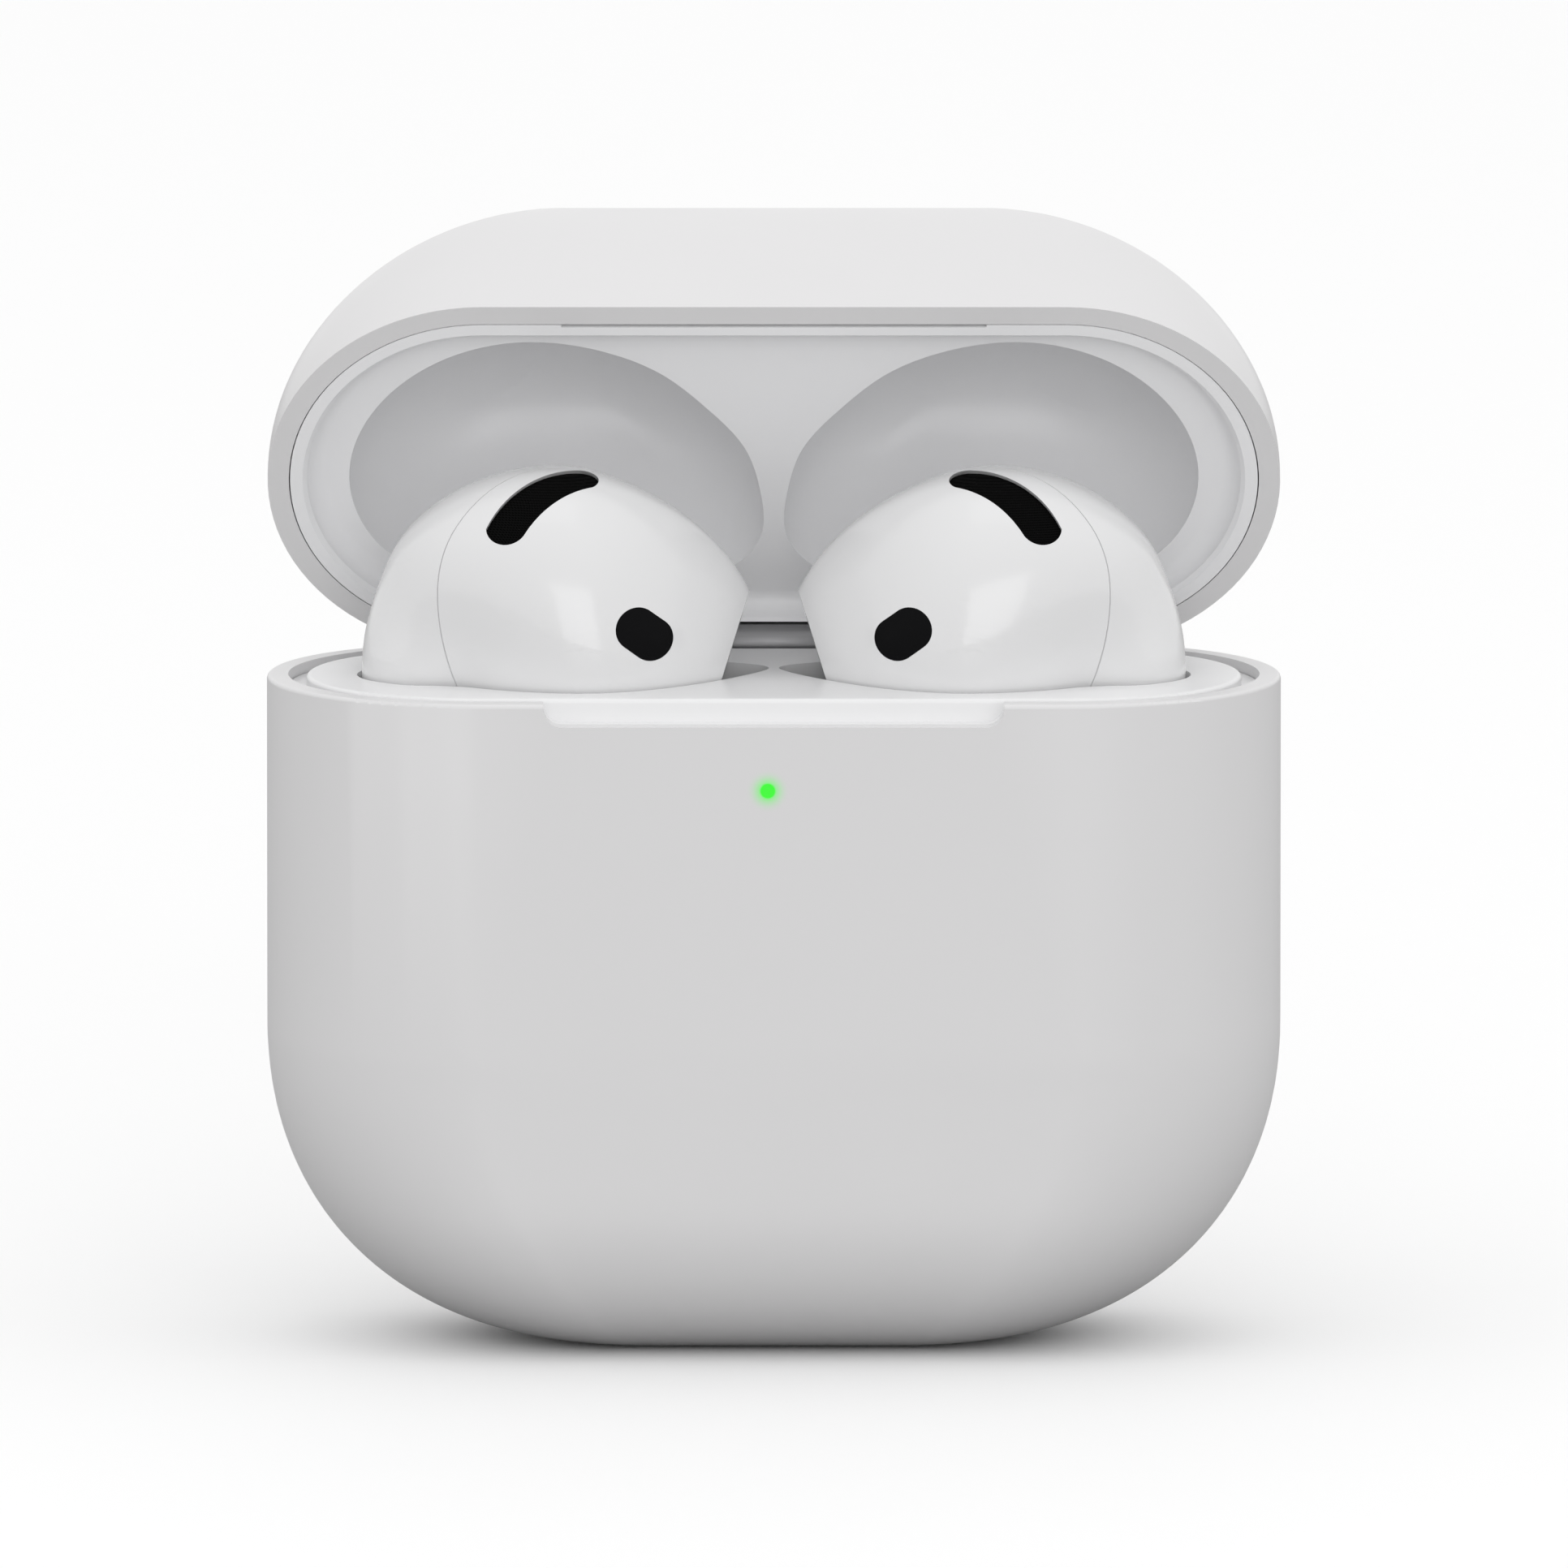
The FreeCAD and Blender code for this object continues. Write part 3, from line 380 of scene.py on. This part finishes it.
def metal(name, colour, roughness=0.3, fineness=9000.0):
    finish = Finish(name)
    lines = finish.place("brushed", Colour=rgba(colour), Roughness=roughness, Fineness=fineness)
    finish.join(lines.outputs["Colour"], "Base Color")
    finish.join(lines.outputs["Roughness"], "Roughness")
    finish.bump(lines.outputs["Height"], 1.5e-6, 0.4)
    finish.set(Metallic=1.0)
    return finish.material


def woven(name, wire, hole, pitch, roughness, metallic, specular):
    finish = Finish(name)
    wires = finish.place("weave", Pitch=pitch, Wire=rgba(wire), Hole=rgba(hole))
    finish.join(wires.outputs["Colour"], "Base Color")
    finish.bump(wires.outputs["Height"], pitch * 0.3, 0.8)
    finish.set(Roughness=roughness, Metallic=metallic, Specular_IOR_Level=specular)
    return finish.material


def printed(name, mask_colour, pitch):
    finish = Finish(name)
    tracks = finish.place("print", Mask_colour=rgba(mask_colour), Pitch=pitch)
    finish.join(tracks.outputs["Colour"], "Base Color")
    finish.join(tracks.outputs["Roughness"], "Roughness")
    finish.join(tracks.outputs["Metal"], "Metallic")
    finish.bump(tracks.outputs["Height"], 3e-5, 0.8)
    return finish.material


def glass(name, colour, emission, strength):
    finish = Finish(name)
    finish.set(Base_Color=rgba(colour), Roughness=0.12, Transmission_Weight=0.35, IOR=1.5)
    finish.set(Emission_Color=rgba(emission), Emission_Strength=strength)
    return finish.material


def case_plastic(settings, light):
    """The outer shells' plastic, with the status light soaking through it."""
    finish = moulded("case_plastic", settings.shell_colour, settings.shell_roughness,
                     settings.grain)
    glow = finish.place("glow", Across=-light.place_x, Height=light.place_z, Core=light.core,
                        Halo=light.halo, Colour=rgba(light.colour))
    finish.tree.links.new(finish.surface.outputs["Colour"], glow.inputs["Wall"])
    finish.join(glow.outputs["Colour"], "Base Color")
    finish.join(glow.outputs["Emission"], "Emission Color")
    finish.set(Emission_Strength=light.brightness)
    return finish.material


# ---- shading and small shapes -------------------------------------------------------------------
def soft_shading_nodes():
    """Geometry nodes that join a solid's faces and shade it smooth except across sharp edges."""
    tree = bpy.data.node_groups.new("soft_shading", "GeometryNodeTree")
    tree.interface.new_socket("Geometry", in_out="INPUT", socket_type="NodeSocketGeometry")
    tree.interface.new_socket("Geometry", in_out="OUTPUT", socket_type="NodeSocketGeometry")
    limit = tree.interface.new_socket("Sharp above", in_out="INPUT", socket_type="NodeSocketFloat")
    limit.default_value = SHARP_ANGLE
    nodes = tree.nodes
    source, result = nodes.new("NodeGroupInput"), nodes.new("NodeGroupOutput")
    merge = nodes.new("GeometryNodeMergeByDistance")
    merge.inputs["Distance"].default_value = MERGE_DISTANCE
    faces = nodes.new("GeometryNodeSetShadeSmooth")
    faces.domain = "FACE"
    edges = nodes.new("GeometryNodeSetShadeSmooth")
    edges.domain = "EDGE"
    edges.inputs["Shade Smooth"].default_value = False
    angle = nodes.new("GeometryNodeInputMeshEdgeAngle")
    above = nodes.new("FunctionNodeCompare")
    above.operation = "GREATER_THAN"
    join = tree.links.new
    join(source.outputs["Geometry"], merge.inputs["Geometry"])
    join(merge.outputs["Geometry"], faces.inputs["Geometry"])
    join(faces.outputs["Geometry"], edges.inputs["Geometry"])
    join(angle.outputs["Unsigned Angle"], above.inputs[0])
    join(source.outputs["Sharp above"], above.inputs[1])
    join(above.outputs["Result"], edges.inputs["Selection"])
    join(edges.outputs["Geometry"], result.inputs["Geometry"])
    return tree


def shade_softly(piece):
    tree = bpy.data.node_groups.get("soft_shading") or soft_shading_nodes()
    modifier = piece.modifiers.new("soft_shading", "NODES")
    modifier.node_group = tree


def dress(names, material):
    """Gives CAD nodes their finish."""
    for name in names:
        node = NODES[name]
        node.data.materials.clear()
        node.data.materials.append(material)
        shade_softly(node)


def sided(*names):
    return [f"{side}_{name}" for side in SIDES for name in names]


def mesh_piece(name, build, material, body):
    """A new piece from a bmesh builder, riding on a body."""
    mesh = bpy.data.meshes.new(name)
    shape = bmesh.new()
    build(shape)
    bmesh.ops.recalc_face_normals(shape, faces=shape.faces)
    shape.to_mesh(mesh)
    shape.free()
    piece = bpy.data.objects.new(name, mesh)
    bpy.context.scene.collection.objects.link(piece)
    mesh.materials.append(material)
    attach(piece, body)
    return piece


def add_block(shape, low, high):
    """A box between two corners, added to a bmesh."""
    made = bmesh.ops.create_cube(shape, size=1.0)["verts"]
    size = Vector(high) - Vector(low)
    middle = (Vector(high) + Vector(low)) / 2
    place = Matrix.Translation(middle) @ Matrix.Diagonal((*size, 1))
    bmesh.ops.transform(shape, matrix=place, verts=made)


# ---- operators ----------------------------------------------------------------------------------
class EARCASE_OT_shells(bpy.types.Operator):
    """Finish the white outer shells of base and lid, and the light that shines through the front"""

    bl_idname = "earcase.shells"
    bl_label = "Outer shells"

    def execute(self, context):
        settings = context.scene.earcase_moulding
        dress(["base_shell", "lid_shell"], case_plastic(settings, context.scene.earcase_light))
        return {"FINISHED"}


class EARCASE_OT_linings(bpy.types.Operator):
    """Finish the tray that holds the earbuds and the lid's lining"""

    bl_idname = "earcase.linings"
    bl_label = "Tray and lining"

    def execute(self, context):
        s = context.scene.earcase_moulding
        tray = moulded("tray_plastic", s.lining_colour, s.lining_roughness, s.grain)
        dress(["bud_tray"], tray.material)
        # The lid's lining takes the lighter copy of the white plastic: painted light against the
        # shade in its hollow
        liner = moulded("liner_plastic_lightened", s.lid_lining_lightened_colour, s.lining_roughness, s.grain)
        dress(["lid_liner"], liner.material)
        return {"FINISHED"}


class EARCASE_OT_earbuds(bpy.types.Operator):
    """Finish the earbuds' polished shells, their meshes and sensor windows"""

    bl_idname = "earcase.earbuds"
    bl_label = "Earbuds"

    def execute(self, context):
        s = context.scene.earcase_moulding
        gloss = moulded("bud_plastic", s.bud_colour, s.bud_roughness, s.grain * 1.6,
                        depth=1e-6, clouding=0.01, coat=0.3)
        dress(sided("bud_front_shell", "bud_rear_shell"), gloss.material)
        black = woven("vent_weave", wire=(0.005, 0.005, 0.005), hole=(0.001, 0.001, 0.001),
                      pitch=0.00011, roughness=0.9, metallic=0.0, specular=0.02)
        dress(sided("bud_vent_mesh"), black)
        grey = woven("nozzle_weave", wire=(0.5, 0.5, 0.51), hole=(0.12, 0.12, 0.12),
                     pitch=0.00018, roughness=0.5, metallic=0.3, specular=0.5)
        dress(sided("bud_nozzle_mesh"), grey)
        window = moulded("window_plastic", (0.004, 0.004, 0.0045), 0.25, 0.002,
                         depth=5e-7, clouding=0.1)
        window.set(Specular_IOR_Level=0.05)
        dress(sided("bud_sensor_window"), window.material)
        return {"FINISHED"}


class EARCASE_OT_hinge(bpy.types.Operator):
    """Finish the steel hinge: brackets, pin, washers and screws"""

    bl_idname = "earcase.hinge"
    bl_label = "Hinge"

    def execute(self, context):
        dress(["hinge_base_bracket", "hinge_lid_bracket"],
              metal("hinge_steel", (0.24, 0.24, 0.245), 0.4))
        dress(["hinge_pin", "hinge_washers"], metal("pin_steel", (0.5, 0.5, 0.52), 0.22))
        dress(["hinge_base_screws", "hinge_lid_screws", "board_screws"],
              metal("screw_steel", (0.42, 0.42, 0.44), 0.3))
        return {"FINISHED"}


class EARCASE_OT_socket(bpy.types.Operator):
    """Finish the socket in the underside and lay the contacts on its tongue"""

    bl_idname = "earcase.socket"
    bl_label = "Socket"

    contacts: bpy.props.IntProperty(
        name="Contacts", description="Contacts on each face of the tongue", default=12)

    def execute(self, context):
        dress(["usb_c_shell"], metal("socket_steel", (0.55, 0.55, 0.57), 0.3))
        dress(["usb_c_tongue"], moulded("tongue_plastic", (0.02, 0.02, 0.02), 0.5, 0.0005).material)
        gold = metal("contact_gold", (0.83, 0.6, 0.25), 0.25)
        mesh_piece("usb_c_contacts", self.lay_contacts, gold, "base")
        return {"FINISHED"}

    def lay_contacts(self, shape):
        low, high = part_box("usb_c_tongue")
        pitch = (high.x - low.x - 2 * CONTACT_MARGIN) / self.contacts
        half = pitch * CONTACT_SHARE
        start = low.z + CONTACT_START
        for i in range(self.contacts):
            x = low.x + CONTACT_MARGIN + pitch * (i + 0.5)
            length = LONG_CONTACT_LENGTH if i in LONG_CONTACTS else CONTACT_LENGTH
            for face, out in ((low.y, -1), (high.y, 1)):
                near, far = sorted((face - out * CONTACT_SUNK, face + out * CONTACT_PROUD))
                add_block(shape, (x - half, near, start), (x + half, far, start + length))


class EARCASE_OT_inner_parts(bpy.types.Operator):
    """Finish the parts that are sealed inside: boards, chips, cells, films, magnets and drivers"""

    bl_idname = "earcase.inner_parts"
    bl_label = "Inner parts"

    def execute(self, context):
        board = printed("board_print", (0.012, 0.1, 0.05), 0.0011)
        dress(["main_board", "battery_board", *sided("contact_board", "bud_board")], board)
        chip = moulded("chip_resin", (0.018, 0.018, 0.02), 0.55, 0.0003, 4e-6, 0.2).material
        dress(["board_chips", *sided("bud_chips", "bud_sensor", "bud_microphone")], chip)
        dull = moulded("frame_plastic", (0.1, 0.1, 0.11), 0.5, 0.0005, 4e-6, 0.1).material
        dress(["inner_frame"], dull)
        dress(["battery"], metal("cell_foil", (0.62, 0.63, 0.65), 0.42, 1400.0))
        dress(["battery_leads"], moulded("lead_sleeve", (0.5, 0.03, 0.02), 0.45, 0.0004).material)
        film = printed("film_print", (0.36, 0.15, 0.02), 0.0007)
        dress(["front_touch_flex", "front_flex_tail",
               *sided("contact_flex", "bud_stem_flex")], film)
        dress(["base_magnet", "bud_hold_magnets", "lid_magnet"],
              metal("magnet_plate", (0.66, 0.66, 0.66), 0.18))
        dress(sided("charge_pins", "bud_contacts"), metal("pin_gold", (0.83, 0.6, 0.25), 0.22))
        dress(sided("bud_battery"), metal("coin_steel", (0.6, 0.6, 0.62), 0.25))
        dress(sided("bud_driver"), metal("driver_can", (0.3, 0.3, 0.32), 0.4))
        return {"FINISHED"}


class EARCASE_OT_status_light(bpy.types.Operator):
    """Light the lamp and the diffusing window behind the front wall"""

    bl_idname = "earcase.status_light"
    bl_label = "Status light"

    def execute(self, context):
        light = context.scene.earcase_light
        dress(["status_light_window"], glass("light_diffuser", (0.7, 0.9, 0.7), light.colour, 1.0))
        dress(["status_led"], glass("lamp_resin", (0.8, 0.75, 0.3), light.colour, 2.0))
        return {"FINISHED"}


class EARCASE_OT_stage(bpy.types.Operator):
    """Set the pale floor, the soft studio lights and the camera"""

    bl_idname = "earcase.stage"
    bl_label = "Stage"

    def execute(self, context):
        stage = context.scene.earcase_stage
        self.lay_floor(context, stage)
        self.hang_lights(context)
        self.set_sky(context, stage)
        self.place_camera(context, stage)
        return {"FINISHED"}

    def lay_floor(self, context, stage):
        mesh = bpy.data.meshes.new("floor")
        r = FLOOR_REACH
        mesh.from_pydata([(-r, -r, 0), (r, -r, 0), (r, r, 0), (-r, r, 0)], [], [(0, 1, 2, 3)])
        floor = bpy.data.objects.new("floor", mesh)
        context.scene.collection.objects.link(floor)
        finish = moulded("floor_paper", stage.floor_colour, 0.7, 0.002, 1e-6, 0.005)
        finish.set(Specular_IOR_Level=0.2)
        self.dim_bounce(finish, stage)
        mesh.materials.append(finish.material)

    def dim_bounce(self, finish, stage):
        """A white paper sweep lit from behind throws back less light than its face shows."""
        nodes, join = finish.tree.nodes, finish.tree.links.new
        back = nodes.new("ShaderNodeBsdfDiffuse")
        back.inputs["Color"].default_value = (stage.bounce, stage.bounce, stage.bounce, 1)
        path, mix = nodes.new("ShaderNodeLightPath"), nodes.new("ShaderNodeMixShader")
        join(path.outputs["Is Camera Ray"], mix.inputs["Fac"])
        join(back.outputs[0], mix.inputs[1])
        join(finish.shader.outputs[0], mix.inputs[2])
        join(mix.outputs[0], nodes["Material Output"].inputs["Surface"])

    def hang_lights(self, context):
        """A broad panel low in front, which lights the lid's hollow, and a small one overhead."""
        for name, at, size, power in PANELS:
            light = bpy.data.lights.new(name, "AREA")
            light.shape = "SQUARE"
            light.size = size
            light.energy = power
            lamp = bpy.data.objects.new(name, light)
            lamp.location = at
            towards = Vector(LAMP_AIM) - Vector(at)
            lamp.rotation_euler = towards.to_track_quat("-Z", "Y").to_euler()
            context.scene.collection.objects.link(lamp)

    def set_sky(self, context, stage):
        world = bpy.data.worlds.new("studio")
        context.scene.world = world
        world.use_nodes = True
        sky = world.node_tree.nodes["Background"]
        sky.inputs["Color"].default_value = (1, 1, 1, 1)
        sky.inputs["Strength"].default_value = stage.sky

    def place_camera(self, context, stage):
        data = bpy.data.cameras.new("camera")
        camera = bpy.data.objects.new("camera", data)
        context.scene.collection.objects.link(camera)
        back = Vector((0, -math.cos(stage.elevation), math.sin(stage.elevation)))
        camera.location = Vector((stage.aim_x, 0, stage.aim_z)) + back * stage.distance
        camera.rotation_euler = (-back).to_track_quat("-Z", "Y").to_euler()
        data.sensor_width = SENSOR_WIDTH
        data.lens = data.sensor_width * stage.distance / stage.view_width
        data.clip_start, data.clip_end = CLIP_NEAR, CLIP_FAR
        context.scene.camera = camera
        context.scene.view_settings.view_transform = "Standard"


class EARCASE_PT_panel(bpy.types.Panel):
    """The steps that finish the case, in order."""

    bl_idname = "EARCASE_PT_panel"
    bl_label = "Earbud case"
    bl_space_type = "VIEW_3D"
    bl_region_type = "UI"
    bl_category = "Earbud case"

    def draw(self, context):
        for operator in STEPS:
            self.layout.operator(operator.bl_idname)


SETTINGS = {"earcase_moulding": MouldingSettings, "earcase_light": StatusLightSettings,
            "earcase_stage": StageSettings}
STEPS = (EARCASE_OT_shells, EARCASE_OT_linings, EARCASE_OT_earbuds, EARCASE_OT_hinge,
         EARCASE_OT_socket, EARCASE_OT_inner_parts, EARCASE_OT_status_light, EARCASE_OT_stage)


def register():
    for name, kind in SETTINGS.items():
        bpy.utils.register_class(kind)
        setattr(bpy.types.Scene, name, bpy.props.PointerProperty(type=kind))
    for kind in (*STEPS, EARCASE_PT_panel):
        bpy.utils.register_class(kind)


def unregister():
    for kind in (EARCASE_PT_panel, *reversed(STEPS)):
        bpy.utils.unregister_class(kind)
    for name, kind in SETTINGS.items():
        delattr(bpy.types.Scene, name)
        bpy.utils.unregister_class(kind)


def main():
    register()
    for step in STEPS:
        getattr(bpy.ops.earcase, step.bl_idname.split(".")[1])()


if __name__ == "__main__":
    main()
